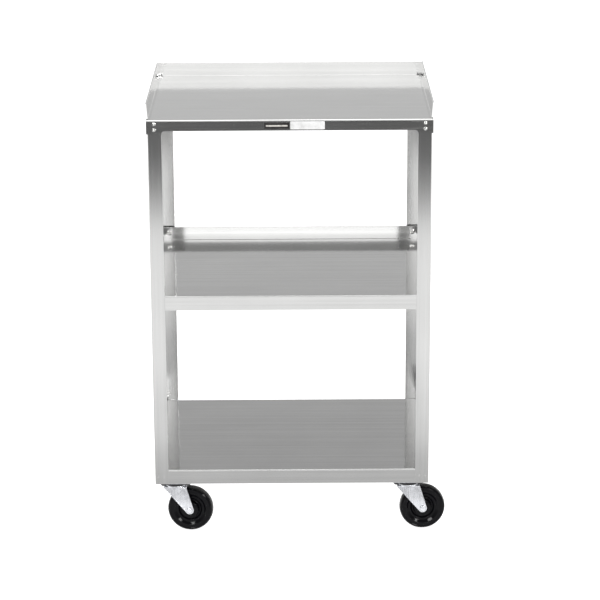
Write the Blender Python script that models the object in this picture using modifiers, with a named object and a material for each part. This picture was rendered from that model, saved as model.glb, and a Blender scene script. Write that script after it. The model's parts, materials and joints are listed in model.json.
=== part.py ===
"""Three-shelf stainless instrument cart on four swivel casters.

Metres, +Z up. The floor is z = 0 and the origin is under the cart's centre.
The front faces -Y, and left and right are as seen from the front.
"""
import math

import bmesh
import bpy
from mathutils import Matrix, Vector

INCH = 0.0254
MM = 0.001
GAP = 0.3 * MM

# Frame of the cart, measured over the legs
WIDTH = 20 * INCH
DEPTH = 16 * INCH
TOP_SURFACE = 791.5 * MM
MIDDLE_SURFACE = 465 * MM

# Folded sheet
SHEET = 1.2 * MM
LEG_SHEET = 1.6 * MM
LEG_FLANGE = 1 * INCH
SHELF_FLANGE = 27 * MM
TOP_FLANGE = 19.5 * MM
TOP_TAB = 1 * INCH
UPSTAND = 1 * INCH
MIDDLE_REAR_GAP = 6 * MM
GUARD = 26 * MM
GUARD_FLARE = 2.3 * MM
GUARD_SETBACK = 14 * MM
GUARD_END_SLOPE = 5 * MM
BEND_RADIUS = 2.4 * MM
CORNER_RADIUS = 1.5 * MM
BEND_STEPS = 3
RELIEF_RADIUS = 3 * MM

# Rivets
RIVET_SHANK = 1.9 * MM
RIVET_HEAD = 3.6 * MM
RIVET_RISE = 1.8 * MM
RIVET_TAIL = 2.8 * MM
RIVET_SIDES = 10
CORNER_RIVET_INSET = 12.7 * MM
CORNER_RIVET_DROPS = (7.0 * MM, 17.5 * MM)
SHELF_RIVET_HEAD = 5.5 * MM
SHELF_RIVET_INSET = 14.6 * MM
SHELF_RIVET_HEIGHT = 14 * MM
SHELF_RIVET_SHOULDER = 3.4 * MM

# Plates on the front flange: left edge, right edge, drop of the top edge, drop of the bottom edge
NAMEPLATE = (-45.4 * MM, -0.9 * MM, 4.9 * MM, 16.1 * MM)
LABEL = (0.9 * MM, 62.3 * MM, 2.9 * MM, 17.4 * MM)
PLATE_THICKNESS = 0.6 * MM

# Casters
WHEEL_RADIUS = 42.5 * MM
CASTER_HEIGHT = 4 * INCH
CASTER_INSET = 37 * MM
TRAIL = 27 * MM
TREAD_HALF = 12 * MM
HUB_HALF = 13.4 * MM
CASTER_PLATE = 60 * MM
CASTER_PLATE_THICKNESS = 2.5 * MM
BOLT_HOLE = 3.4 * MM
BOLT_SPACING = 44 * MM
PAD = 66 * MM
PAD_THICKNESS = 3 * MM
FORK_SHEET = 2.2 * MM
FORK_INNER_HALF = 14 * MM
FORK_TOP = 89 * MM
FORK_END_RADIUS = 7.8 * MM
FORK_TOP_BACK = -21 * MM
FORK_TOP_FRONT = 21 * MM
FORK_THROAT = 86 * MM
RACE_TOP = 91.4 * MM
RACE_RADIUS = 20.2 * MM
CUP_RADIUS = 22.4 * MM
CUP_RIM = 91.8 * MM
BALL_RADIUS = 2.6 * MM
BALL_CIRCLE = 15 * MM
KING_PIN = 5 * MM
AXLE = 3.9 * MM
BUSH = 6 * MM
WHEEL_BORE = 6.3 * MM
ROUND_SIDES = 24
SMALL_ROUND_SIDES = 16
NUT_SIDES = 6

# Each caster's corner and the way its wheel trails at rest, in degrees from +X
CASTERS = {
    "front_left": (-1, -1, -6),
    "front_right": (1, -1, 2),
    "rear_left": (-1, 1, 145),
    "rear_right": (1, 1, 186),
}
CORNERS = {name: (x, y) for name, (x, y, _) in CASTERS.items()}

FRAME_BOTTOM = CASTER_HEIGHT + GAP
BOTTOM_SURFACE = FRAME_BOTTOM + SHELF_FLANGE
HALF_WIDTH = WIDTH / 2
HALF_DEPTH = DEPTH / 2
TOP_HALF_WIDTH = HALF_WIDTH + GAP + SHEET
TOP_HALF_DEPTH = HALF_DEPTH + GAP + SHEET
SHELF_HALF_WIDTH = HALF_WIDTH - LEG_SHEET - GAP
SHELF_HALF_DEPTH = HALF_DEPTH - LEG_SHEET - GAP
OVERCUT = 10 * MM


def clear_scene():
    for item in list(bpy.data.objects):
        bpy.data.objects.remove(item, do_unlink=True)


def collection(name):
    made = bpy.data.collections.new(name)
    bpy.context.scene.collection.children.link(made)
    return made


def material(name, colour, roughness, metallic):
    made = bpy.data.materials.new(name)
    made.use_nodes = True
    shader = made.node_tree.nodes["Principled BSDF"]
    shader.inputs["Base Color"].default_value = (*colour, 1)
    shader.inputs["Roughness"].default_value = roughness
    shader.inputs["Metallic"].default_value = metallic
    return made


def piece(name, data, look, parent=None, place=(0, 0, 0), turn=(0, 0, 0)):
    """One named sub-part with a material of its own."""
    made = bpy.data.objects.new(name, data)
    CART.objects.link(made)
    made.data.materials.append(material(name, *look))
    made.parent = parent
    made.location = place
    made.rotation_euler = turn
    return made


def helper(name, data, parent=None, place=(0, 0, 0), turn=(0, 0, 0)):
    """A shape that only cuts or joins: it is never drawn."""
    made = bpy.data.objects.new(name, data)
    HELPERS.objects.link(made)
    made.hide_render = True
    made.display_type = "WIRE"
    made.parent = parent
    made.location = place
    made.rotation_euler = turn
    return made


def boolean(target, tool, operation):
    step = target.modifiers.new(tool.name, "BOOLEAN")
    step.operation = operation
    step.solver = "EXACT"
    step.object = tool


def box(name, low, high, rounded=None, radius=0.0, steps=BEND_STEPS):
    """A box mesh between two corners; rounded(edge) picks the edges that get the radius."""
    low, high = Vector(low), Vector(high)
    shape = bmesh.new()
    bmesh.ops.create_cube(shape, size=1)
    bmesh.ops.scale(shape, vec=high - low, verts=shape.verts)
    bmesh.ops.translate(shape, vec=(low + high) / 2, verts=shape.verts)
    if rounded:
        picked = [edge for edge in shape.edges if rounded(edge)]
        bmesh.ops.bevel(shape, geom=picked, offset=radius, segments=steps, profile=0.5, affect="EDGES")
    data = bpy.data.meshes.new(name)
    shape.to_mesh(data)
    shape.free()
    return data


def upright(edge):
    """True for an edge that runs along Z."""
    first, second = (vert.co for vert in edge.verts)
    return abs(first.x - second.x) + abs(first.y - second.y) < GAP


def at_height(height):
    """A picker for the edges that lie at one height."""
    return lambda edge: all(abs(vert.co.z - height) < GAP for vert in edge.verts)


def arc(centre, radius, start, end, steps):
    """Points on an arc, from one angle to another in degrees."""
    angles = [math.radians(start + (end - start) * step / steps) for step in range(steps + 1)]
    return [(centre[0] + radius * math.cos(a), centre[1] + radius * math.sin(a)) for a in angles]


def prism(name, outline, thickness):
    """A flat outline in XY, as thick as stated along Z and centred on it."""
    flat = bpy.data.curves.new(name, "CURVE")
    flat.dimensions = "2D"
    flat.fill_mode = "BOTH"
    flat.extrude = thickness / 2
    line = flat.splines.new("POLY")
    line.points.add(len(outline) - 1)
    for point, (x, y) in zip(line.points, outline):
        point.co = (x, y, 0, 1)
    line.use_cyclic_u = True
    carrier = bpy.data.objects.new(name, flat)
    bpy.context.scene.collection.objects.link(carrier)
    evaluated = carrier.evaluated_get(bpy.context.evaluated_depsgraph_get())
    data = bpy.data.meshes.new_from_object(evaluated)
    bpy.data.objects.remove(carrier)
    shape = bmesh.new()
    shape.from_mesh(data)
    bmesh.ops.remove_doubles(shape, verts=shape.verts, dist=0.01 * MM)
    bmesh.ops.recalc_face_normals(shape, faces=shape.faces)
    shape.to_mesh(data)
    shape.free()
    return data


def turned(target, steps):
    """Spins the object's profile round its Z axis."""
    spin = target.modifiers.new("turn", "SCREW")
    spin.steps = steps
    spin.render_steps = steps
    spin.use_merge_vertices = True
    spin.merge_threshold = 0.01 * MM
    spin.use_smooth_shade = True


def profile(name, points, closed):
    """A profile in the XZ plane for turned(): radius and height of each point, outer side downwards."""
    count = len(points)
    links = [(i, i + 1) for i in range(count - 1)]
    if closed:
        links.append((count - 1, 0))
    data = bpy.data.meshes.new(name)
    data.from_pydata([(radius, 0, height) for radius, height in points], links, [])
    return data


STEEL = ((0.66, 0.66, 0.65), 0.32, 1.0)
ZINC = ((0.72, 0.73, 0.75), 0.28, 1.0)
DARK_STEEL = ((0.10, 0.10, 0.10), 0.45, 1.0)
BLACK_WHEEL = ((0.012, 0.012, 0.014), 0.18, 0.0)
BUSH_BRONZE = ((0.45, 0.33, 0.18), 0.40, 1.0)
NAMEPLATE_BLACK = ((0.03, 0.03, 0.03), 0.35, 0.0)
LABEL_WHITE = ((0.85, 0.85, 0.83), 0.50, 0.0)


def rivet_profile(head, grip, shoulder):
    """A rivet whose head's underside is at z = 0; its shank runs down through the grip to a set tail.

    The shoulder is its top and bottom below the head: it fills a gap between the two sheets.
    """
    dome = [(head * math.sin(a), RIVET_RISE * math.cos(a)) for a in (0, 0.5, 1.0, 1.35)]
    tail_top = -grip - 2 * GAP
    shank = [(head, 0), (RIVET_SHANK, 0)]
    if shoulder:
        top, bottom = -shoulder[0], -shoulder[1]
        shank += [(RIVET_SHANK, top), (SHELF_RIVET_SHOULDER, top), (SHELF_RIVET_SHOULDER, bottom),
                  (RIVET_SHANK, bottom)]
    tail = [(RIVET_TAIL, tail_top), (RIVET_TAIL * 0.8, tail_top - 0.8 * MM), (0, tail_top - 1.1 * MM)]
    return dome + shank + [(RIVET_SHANK, tail_top)] + tail


def rivet_places():
    """Each rivet's name, head radius, grip, shoulder, head position and the side (-1 front, 1 rear) it faces."""
    corner_grip = SHEET + LEG_SHEET + 2 * GAP
    for name, (side, end) in CORNERS.items():
        x = side * (HALF_WIDTH - CORNER_RIVET_INSET)
        for level, drop in zip(("upper", "lower"), CORNER_RIVET_DROPS):
            spot = (x, end * (TOP_HALF_DEPTH + GAP), TOP_SURFACE - drop)
            yield f"corner_rivet_{name}_{level}", RIVET_HEAD, corner_grip, None, spot, end
    shoulder = (SHEET + 2 * GAP, SHEET + MIDDLE_REAR_GAP + GAP)
    for name, side in (("left", -1), ("right", 1)):
        face = SHELF_HALF_DEPTH - MIDDLE_REAR_GAP - SHEET - GAP
        spot = (side * (HALF_WIDTH - SHELF_RIVET_INSET), face, MIDDLE_SURFACE + SHELF_RIVET_HEIGHT)
        yield f"shelf_rivet_{name}", SHELF_RIVET_HEAD, corner_grip + MIDDLE_REAR_GAP, shoulder, spot, -1


def rivet_holes():
    """One cutter with a cylinder on each rivet's line."""
    shape = bmesh.new()
    for _, _, grip, _, (x, y, z), end in rivet_places():
        length = grip + 8 * GAP
        middle = Vector((x, y - end * grip / 2, z))
        lie_down = Matrix.Rotation(math.pi / 2, 4, "X")
        bmesh.ops.create_cone(
            shape, cap_ends=True, segments=RIVET_SIDES, radius1=RIVET_SHANK + GAP,
            radius2=RIVET_SHANK + GAP, depth=length, matrix=Matrix.Translation(middle) @ lie_down,
        )
    data = bpy.data.meshes.new("rivet_holes")
    shape.to_mesh(data)
    shape.free()
    return helper("rivet_holes", data)


def make_rivets():
    for name, head, grip, shoulder, spot, end in rivet_places():
        data = profile(name, rivet_profile(head, grip, shoulder), closed=False)
        made = piece(name, data, STEEL, place=spot, turn=(-end * math.pi / 2, 0, 0))
        turned(made, RIVET_SIDES)


def make_leg(name, side, end, holes):
    """A folded angle with its bend at the cart's corner."""
    inner = LEG_SHEET
    bend = arc((BEND_RADIUS, BEND_RADIUS), BEND_RADIUS, 270, 180, BEND_STEPS)
    outline = [(LEG_FLANGE, inner), (LEG_FLANGE, 0)] + bend
    outline += [(0, LEG_FLANGE), (inner, LEG_FLANGE), (inner, inner)]
    outline = [(side * (HALF_WIDTH - x), end * (HALF_DEPTH - y)) for x, y in outline]
    # the leg stops under the curve of the top shelf's bend
    top = TOP_SURFACE - BEND_RADIUS
    data = prism(name, outline, top - FRAME_BOTTOM)
    made = piece(name, data, STEEL, place=(0, 0, (top + FRAME_BOTTOM) / 2))
    boolean(made, holes, "DIFFERENCE")


def pan(name, half_width, front, rear, surface, flange, front_only=False):
    """An open-bottomed tray with rounded bends: a rounded block less a rounded core."""
    def bends(height):
        level = at_height(height)
        return lambda edge: level(edge) and not (front_only and max(v.co.y for v in edge.verts) > 0)

    made = piece(
        name,
        box(name, (-half_width, front, surface - flange), (half_width, rear, surface),
            bends(surface), BEND_RADIUS),
        STEEL,
    )
    core_top = surface - SHEET
    core = helper(
        f"{name}_core",
        box(f"{name}_core", (SHEET - half_width, front + SHEET, surface - flange - OVERCUT),
            (half_width - SHEET, rear - SHEET, core_top), bends(core_top), BEND_RADIUS - SHEET),
    )
    boolean(made, core, "DIFFERENCE")
    return made


def side_guard(side):
    """The flared side guard: its cross-section leans outwards and its front end slopes back."""
    foot = TOP_SURFACE - SHEET + GAP
    top = TOP_SURFACE + GUARD
    outer, inner = TOP_HALF_WIDTH, TOP_HALF_WIDTH - 2 * SHEET
    hem = arc((outer + GUARD_FLARE - SHEET, top - SHEET), SHEET, 0, 180, 4)
    outline = [(inner, foot), (outer - GAP, foot)] + hem + [(inner, TOP_SURFACE)]
    outline = [(side * x, z) for x, z in outline]
    front, rear = -TOP_HALF_DEPTH + GUARD_SETBACK, TOP_HALF_DEPTH - GAP
    data = prism(f"guard_{side}", outline, rear - front)
    for vert in data.vertices:
        # the prism's +Z end becomes the front end once it is laid along Y
        if vert.co.z > 0:
            vert.co.z -= GUARD_END_SLOPE * max(0.0, vert.co.y - TOP_SURFACE) / GUARD
    return helper(f"guard_{'left' if side < 0 else 'right'}", data,
                  place=(0, (front + rear) / 2, 0), turn=(math.pi / 2, 0, 0))


def rear_guard():
    """The upright rear guard, of doubled sheet with a rounded hem."""
    foot, top = TOP_SURFACE - SHEET + GAP, TOP_SURFACE + GUARD
    outer = TOP_HALF_DEPTH - GAP / 3
    low = (-TOP_HALF_WIDTH - GAP, outer - 2 * SHEET, foot)
    high = (TOP_HALF_WIDTH + GAP, outer, top)
    rounded = at_height(top)
    data = box("guard_rear", low, high, lambda edge: rounded(edge) and abs(edge.verts[0].co.y
               - edge.verts[1].co.y) < GAP, SHEET * 0.9)
    return helper("guard_rear", data)


def relief_holes():
    """Small round holes where the rear and side bends of the top shelf meet."""
    shape = bmesh.new()
    for side in (-1, 1):
        spot = Vector((side * (TOP_HALF_WIDTH - 2 * SHEET - RELIEF_RADIUS * 0.6),
                       TOP_HALF_DEPTH - 2 * SHEET - RELIEF_RADIUS * 0.6, TOP_SURFACE))
        bmesh.ops.create_cone(
            shape, cap_ends=True, segments=12, radius1=RELIEF_RADIUS * 0.55, radius2=RELIEF_RADIUS * 0.55,
            depth=4 * SHEET, matrix=Matrix.Translation(spot),
        )
    data = bpy.data.meshes.new("relief_holes")
    shape.to_mesh(data)
    shape.free()
    return helper("relief_holes", data)


def make_top_shelf(holes):
    shelf = pan("top_shelf", TOP_HALF_WIDTH, -TOP_HALF_DEPTH, TOP_HALF_DEPTH, TOP_SURFACE, TOP_TAB,
                front_only=True)
    tab_edge = HALF_WIDTH - LEG_FLANGE
    notch = helper("front_notch", box(
        "front_notch", (-tab_edge, -TOP_HALF_DEPTH - OVERCUT, TOP_SURFACE - TOP_TAB - OVERCUT),
        (tab_edge, -TOP_HALF_DEPTH + OVERCUT, TOP_SURFACE - TOP_FLANGE)))
    boolean(shelf, notch, "DIFFERENCE")
    for side in (-1, 1):
        boolean(shelf, side_guard(side), "UNION")
    boolean(shelf, rear_guard(), "UNION")
    boolean(shelf, relief_holes(), "DIFFERENCE")
    boolean(shelf, holes, "DIFFERENCE")


def make_middle_shelf(holes):
    """The middle shelf stops short of the rear legs, and its rear edge turns up instead of down."""
    edge = SHELF_HALF_DEPTH - MIDDLE_REAR_GAP
    shelf = pan("middle_shelf", SHELF_HALF_WIDTH, -SHELF_HALF_DEPTH, edge, MIDDLE_SURFACE, SHELF_FLANGE)
    rear_cut = helper("middle_rear_cut", box(
        "middle_rear_cut", (SHEET - SHELF_HALF_WIDTH, edge - SHEET - GAP, MIDDLE_SURFACE - SHELF_FLANGE - OVERCUT),
        (SHELF_HALF_WIDTH - SHEET, edge + OVERCUT, MIDDLE_SURFACE - SHEET - BEND_RADIUS)))
    boolean(shelf, rear_cut, "DIFFERENCE")
    upstand = helper("middle_upstand", box(
        "middle_upstand", (-SHELF_HALF_WIDTH, edge - SHEET, MIDDLE_SURFACE - SHEET - GAP),
        (SHELF_HALF_WIDTH, edge, MIDDLE_SURFACE + UPSTAND)))
    boolean(shelf, upstand, "UNION")
    boolean(shelf, holes, "DIFFERENCE")


def make_flange_plate(name, edges, look):
    """A thin plate stuck on the front flange."""
    left, right, top_drop, bottom_drop = edges
    face = -TOP_HALF_DEPTH - GAP
    low = (left, face - PLATE_THICKNESS, TOP_SURFACE - bottom_drop)
    high = (right, face, TOP_SURFACE - top_drop)
    piece(name, box(name, low, high, lambda edge: abs(edge.verts[0].co.y - edge.verts[1].co.y) > GAP,
                    1 * MM, 3), look)


def bolt_holes(centre_x, centre_y, low, high, name):
    shape = bmesh.new()
    half = BOLT_SPACING / 2
    for x in (-half, half):
        for y in (-half, half):
            spot = Vector((centre_x + x, centre_y + y, (low + high) / 2))
            bmesh.ops.create_cone(
                shape, cap_ends=True, segments=10, radius1=BOLT_HOLE, radius2=BOLT_HOLE,
                depth=high - low + OVERCUT, matrix=Matrix.Translation(spot),
            )
    data = bpy.data.meshes.new(name)
    shape.to_mesh(data)
    shape.free()
    return helper(name, data)


def make_caster_mount(name, side, end):
    """The pad plate in the pan's corner, and the caster's top plate bolted under it."""
    x, y = side * (HALF_WIDTH - CASTER_INSET), end * (HALF_DEPTH - CASTER_INSET)
    outer_x = side * (SHELF_HALF_WIDTH - SHEET - GAP)
    outer_y = end * (SHELF_HALF_DEPTH - SHEET - GAP)
    inner_x, inner_y = outer_x - side * PAD, outer_y - end * PAD
    low = (min(outer_x, inner_x), min(outer_y, inner_y), FRAME_BOTTOM)
    high = (max(outer_x, inner_x), max(outer_y, inner_y), FRAME_BOTTOM + PAD_THICKNESS)
    pad = piece(f"caster_pad_{name}", box(name, low, high, upright, 2 * CORNER_RADIUS), STEEL)
    half = CASTER_PLATE / 2
    low = (x - half, y - half, CASTER_HEIGHT - CASTER_PLATE_THICKNESS)
    high = (x + half, y + half, CASTER_HEIGHT)
    plate = piece(f"caster_plate_{name}", box(name, low, high, upright, 4 * CORNER_RADIUS), ZINC)
    holes = bolt_holes(x, y, low[2], FRAME_BOTTOM + PAD_THICKNESS, f"bolt_holes_{name}")
    for target in (pad, plate):
        boolean(target, holes, "DIFFERENCE")


def fork_outline():
    """The fork's side view: a tapered leg from the crown to the rounded axle end."""
    away = math.atan2(FORK_THROAT - WHEEL_RADIUS, FORK_TOP_BACK - TRAIL)
    reach = math.hypot(FORK_THROAT - WHEEL_RADIUS, FORK_TOP_BACK - TRAIL)
    back = math.degrees(away + math.acos(FORK_END_RADIUS / reach))
    away = math.atan2(FORK_TOP - WHEEL_RADIUS, FORK_TOP_FRONT - TRAIL)
    reach = math.hypot(FORK_TOP - WHEEL_RADIUS, FORK_TOP_FRONT - TRAIL)
    front = math.degrees(away - math.acos(FORK_END_RADIUS / reach))
    end = arc((TRAIL, WHEEL_RADIUS), FORK_END_RADIUS, back, front + 360, 9)
    return [(FORK_TOP_FRONT, FORK_TOP), (FORK_TOP_BACK, FORK_TOP), (FORK_TOP_BACK, FORK_THROAT)] + end


def make_fork(name, swivel):
    """A U-shaped pressing with tapered legs, and the ball race on its crown."""
    half = FORK_INNER_HALF + FORK_SHEET
    data = prism(name, fork_outline(), 2 * half)
    shape = bmesh.new()
    shape.from_mesh(data)
    shoulders = [edge for edge in shape.edges if all(abs(v.co.y - FORK_TOP) < GAP for v in edge.verts)
                 and abs(edge.verts[0].co.z - edge.verts[1].co.z) < GAP]
    bmesh.ops.bevel(shape, geom=shoulders, offset=3 * MM, segments=BEND_STEPS, profile=0.5, affect="EDGES")
    shape.to_mesh(data)
    shape.free()
    fork = piece(f"fork_{name}", data, ZINC, parent=swivel, turn=(math.pi / 2, 0, 0))
    ceiling = FORK_TOP - FORK_SHEET
    inner = helper(f"fork_inner_{name}", box(
        name, (-2 * WHEEL_RADIUS, -FORK_INNER_HALF, 0), (2 * WHEEL_RADIUS, FORK_INNER_HALF, ceiling),
        lambda edge: at_height(ceiling)(edge) and abs(edge.verts[0].co.y - edge.verts[1].co.y) < GAP,
        1 * MM, 2), parent=swivel)
    boolean(fork, inner, "DIFFERENCE")
    race = helper(f"race_{name}", profile(name, [
        (0, RACE_TOP), (RACE_RADIUS - 2 * MM, RACE_TOP), (RACE_RADIUS, RACE_TOP - 2 * MM),
        (RACE_RADIUS, FORK_TOP - FORK_SHEET / 2), (0, FORK_TOP - FORK_SHEET / 2)], closed=False), parent=swivel)
    turned(race, ROUND_SIDES)
    boolean(fork, race, "UNION")
    pin_hole = helper(f"pin_hole_{name}", rod(name, KING_PIN + GAP, CUP_RIM - FORK_THROAT + OVERCUT),
                      parent=swivel, place=(0, 0, FORK_TOP))
    boolean(fork, pin_hole, "DIFFERENCE")
    axle_hole = helper(f"axle_hole_{name}", rod(name, AXLE + GAP, 2 * half + OVERCUT), parent=swivel,
                       place=(TRAIL, 0, WHEEL_RADIUS), turn=(math.pi / 2, 0, 0))
    boolean(fork, axle_hole, "DIFFERENCE")


def rod(name, radius, length):
    """A plain cylinder mesh about its own centre, along Z."""
    shape = bmesh.new()
    bmesh.ops.create_cone(shape, cap_ends=True, segments=SMALL_ROUND_SIDES, radius1=radius, radius2=radius,
                          depth=length)
    data = bpy.data.meshes.new(name)
    shape.to_mesh(data)
    shape.free()
    return data


def wheel_profile():
    """Half the wheel's section, mirrored: hub, dished web, flat rim face and a crowned tread."""
    side = [
        (WHEEL_BORE, HUB_HALF), (16.0 * MM, HUB_HALF), (18.0 * MM, 7.6 * MM), (22.5 * MM, 6.6 * MM),
        (32.0 * MM, 11.4 * MM), (38.4 * MM, TREAD_HALF), (41.0 * MM, 10.2 * MM), (WHEEL_RADIUS, 6 * MM),
    ]
    return side + [(radius, -height) for radius, height in reversed(side)]


def make_caster(name, side, end, trail_angle):
    x, y = side * (HALF_WIDTH - CASTER_INSET), end * (HALF_DEPTH - CASTER_INSET)
    swivel = bpy.data.objects.new(f"swivel_axis_{name}", None)
    CART.objects.link(swivel)
    swivel.location = (x, y, 0)
    swivel.rotation_euler = (0, 0, math.radians(trail_angle))

    plate_under = CASTER_HEIGHT - CASTER_PLATE_THICKNESS - GAP
    shoulder = CUP_RADIUS - 5 * MM
    cup = piece(f"raceway_cup_{name}", profile(name, [
        (KING_PIN + GAP, plate_under), (shoulder, plate_under), (CUP_RADIUS, plate_under - 5 * MM),
        (CUP_RADIUS, CUP_RIM), (CUP_RADIUS - SHEET, CUP_RIM), (CUP_RADIUS - SHEET, plate_under - 5.5 * MM),
        (shoulder - SHEET / 2, plate_under - SHEET), (KING_PIN + GAP, plate_under - SHEET)], closed=True),
        DARK_STEEL, parent=swivel)
    turned(cup, ROUND_SIDES)

    ball_height = RACE_TOP + GAP + BALL_RADIUS
    section = arc((BALL_CIRCLE, ball_height), BALL_RADIUS, 360, 60, 5)
    balls = piece(f"ball_ring_{name}", profile(name, section, closed=True), DARK_STEEL, parent=swivel)
    turned(balls, ROUND_SIDES)

    head_top = FORK_TOP - FORK_SHEET - GAP
    pin = piece(f"king_pin_{name}", profile(name, [
        (0, plate_under), (KING_PIN, plate_under), (KING_PIN, head_top), (8.5 * MM, head_top),
        (7.5 * MM, head_top - 3 * MM), (0, head_top - 4 * MM)], closed=False), ZINC, parent=swivel)
    turned(pin, SMALL_ROUND_SIDES)

    make_fork(name, swivel)

    axle_place = (TRAIL, 0, WHEEL_RADIUS)
    lie_down = (math.pi / 2, 0, 0)
    wheel = piece(f"wheel_{name}", profile(name, wheel_profile(), closed=True), BLACK_WHEEL,
                  parent=swivel, place=axle_place, turn=lie_down)
    turned(wheel, ROUND_SIDES)

    bush_half = FORK_INNER_HALF - GAP
    bush = piece(f"hub_bush_{name}", profile(name, [
        (AXLE + GAP, bush_half), (BUSH, bush_half), (BUSH, -bush_half), (AXLE + GAP, -bush_half)], closed=True),
        BUSH_BRONZE, parent=swivel, place=axle_place, turn=lie_down)
    turned(bush, SMALL_ROUND_SIDES)

    face = FORK_INNER_HALF + FORK_SHEET + GAP
    axle = piece(f"axle_{name}", profile(name, [
        (0, face + 2.2 * MM), (3.6 * MM, face + 1.9 * MM), (5.8 * MM, face + 0.6 * MM), (5.8 * MM, face),
        (AXLE, face), (AXLE, -face - 5 * MM), (0, -face - 5 * MM)], closed=False), ZINC,
        parent=swivel, place=axle_place, turn=lie_down)
    turned(axle, SMALL_ROUND_SIDES)

    bore = (AXLE + GAP) / math.cos(math.pi / NUT_SIDES)
    nut = piece(f"axle_nut_{name}", profile(name, [
        (bore, -face), (6.9 * MM, -face), (6.9 * MM, -face - 3.6 * MM), (6.0 * MM, -face - 4.4 * MM),
        (bore, -face - 4.4 * MM)], closed=True), ZINC, parent=swivel, place=axle_place, turn=lie_down)
    turned(nut, NUT_SIDES)


clear_scene()
CART = collection("instrument_cart")
HELPERS = collection("cutters")

RIVET_HOLES = rivet_holes()
make_top_shelf(RIVET_HOLES)
make_middle_shelf(RIVET_HOLES)
pan("bottom_shelf", SHELF_HALF_WIDTH, -SHELF_HALF_DEPTH, SHELF_HALF_DEPTH, BOTTOM_SURFACE, SHELF_FLANGE)
for corner, (across, along) in CORNERS.items():
    make_leg(f"leg_{corner}", across, along, RIVET_HOLES)
make_rivets()
make_flange_plate("nameplate", NAMEPLATE, NAMEPLATE_BLACK)
make_flange_plate("blank_label", LABEL, LABEL_WHITE)
for corner, (across, along, trail_angle) in CASTERS.items():
    make_caster_mount(corner, across, along)
    make_caster(corner, across, along, trail_angle)
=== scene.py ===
"""Looks of the stainless instrument cart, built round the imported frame.

Metres, +Z up, in the frame's own coordinates. The cart's front faces -Y.
"""
import json
import math

import bmesh
import bpy
from mathutils import Matrix, Vector


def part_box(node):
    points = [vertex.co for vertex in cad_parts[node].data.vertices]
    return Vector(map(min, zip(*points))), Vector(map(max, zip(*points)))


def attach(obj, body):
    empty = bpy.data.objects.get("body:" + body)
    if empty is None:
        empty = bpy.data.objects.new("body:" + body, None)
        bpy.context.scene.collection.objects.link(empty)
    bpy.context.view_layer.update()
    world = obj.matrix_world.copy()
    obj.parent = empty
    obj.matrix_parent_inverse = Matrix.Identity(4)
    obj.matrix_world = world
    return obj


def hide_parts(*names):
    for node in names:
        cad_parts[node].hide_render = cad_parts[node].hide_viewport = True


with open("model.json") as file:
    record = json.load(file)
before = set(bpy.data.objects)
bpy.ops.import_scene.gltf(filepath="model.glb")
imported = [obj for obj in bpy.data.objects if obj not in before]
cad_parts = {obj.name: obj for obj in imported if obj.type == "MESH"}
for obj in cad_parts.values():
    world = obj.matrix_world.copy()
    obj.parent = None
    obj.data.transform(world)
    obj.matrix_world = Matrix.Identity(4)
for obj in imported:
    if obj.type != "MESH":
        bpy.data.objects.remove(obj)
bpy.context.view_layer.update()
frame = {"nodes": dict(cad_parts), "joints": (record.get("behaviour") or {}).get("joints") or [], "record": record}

MM = 0.001
WHEEL_RADIUS = 42.5 * MM
CORNERS = {"front_left": (-1, -1), "front_right": (1, -1), "rear_left": (-1, 1), "rear_right": (1, 1)}


# ---------------------------------------------------------------- materials

def new_material(name, colour, roughness, metallic):
    """A material with its shader and node tools, ready for detail."""
    made = bpy.data.materials.new(name)
    made.use_nodes = True
    shader = made.node_tree.nodes["Principled BSDF"]
    shader.inputs["Base Color"].default_value = (*colour, 1)
    shader.inputs["Roughness"].default_value = roughness
    shader.inputs["Metallic"].default_value = metallic
    return made, shader


def node(tree, kind, **values):
    """A node with its properties and its input values set by name or number."""
    made = tree.nodes.new(kind)
    inputs = values.pop("inputs", {})
    for key, value in values.items():
        setattr(made, key, value)
    for key, value in inputs.items():
        if isinstance(value, bpy.types.NodeSocket):
            tree.links.new(value, made.inputs[key])
        else:
            made.inputs[key].default_value = value
    return made


def noise(tree, vector, scale, detail=2.0, roughness=0.5):
    made = node(tree, "ShaderNodeTexNoise", inputs={
        "Vector": vector, "Scale": scale, "Detail": detail, "Roughness": roughness})
    return made.outputs["Fac"]


def spread(tree, value, low, high, low_in=0.0, high_in=1.0):
    """Maps a 0 to 1 pattern onto a range."""
    made = node(tree, "ShaderNodeMapRange", inputs={
        "Value": value, "From Min": low_in, "From Max": high_in, "To Min": low, "To Max": high})
    return made.outputs["Result"]


def maths(tree, operation, first, second=0.0):
    made = node(tree, "ShaderNodeMath", operation=operation, inputs={0: first, 1: second})
    return made.outputs[0]


def tint(tree, factor, dark, light):
    made = node(tree, "ShaderNodeMix", data_type="RGBA", inputs={0: factor, 6: (*dark, 1), 7: (*light, 1)})
    return made.outputs[2]


def stretched(tree, point, scales):
    made = node(tree, "ShaderNodeVectorMath", operation="MULTIPLY", inputs={0: point, 1: scales})
    return made.outputs[0]


def drive(tree, shader, colour, roughness):
    """Links a shader's colour and roughness to patterns."""
    tree.links.new(colour, shader.inputs["Base Color"])
    tree.links.new(roughness, shader.inputs["Roughness"])


def emboss(tree, shader, strength, distance, height):
    """Gives a shader a fine bump."""
    bump = node(tree, "ShaderNodeBump", inputs={"Strength": strength, "Distance": distance, "Height": height})
    tree.links.new(bump.outputs[0], shader.inputs["Normal"])


def grey_ramp(tree, value, stops, reach=1.0):
    """A ramp through greys, whose stops are (place, brightness), with places running up to the reach."""
    ramp = node(tree, "ShaderNodeValToRGB", inputs={0: value})
    elements = ramp.color_ramp.elements
    while len(elements) < len(stops):
        elements.new(0.5)
    for element, (place, glow) in zip(elements, stops):
        element.position = place / reach
        element.color = (glow, glow, glow, 1)
    return ramp.outputs[0]


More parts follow.
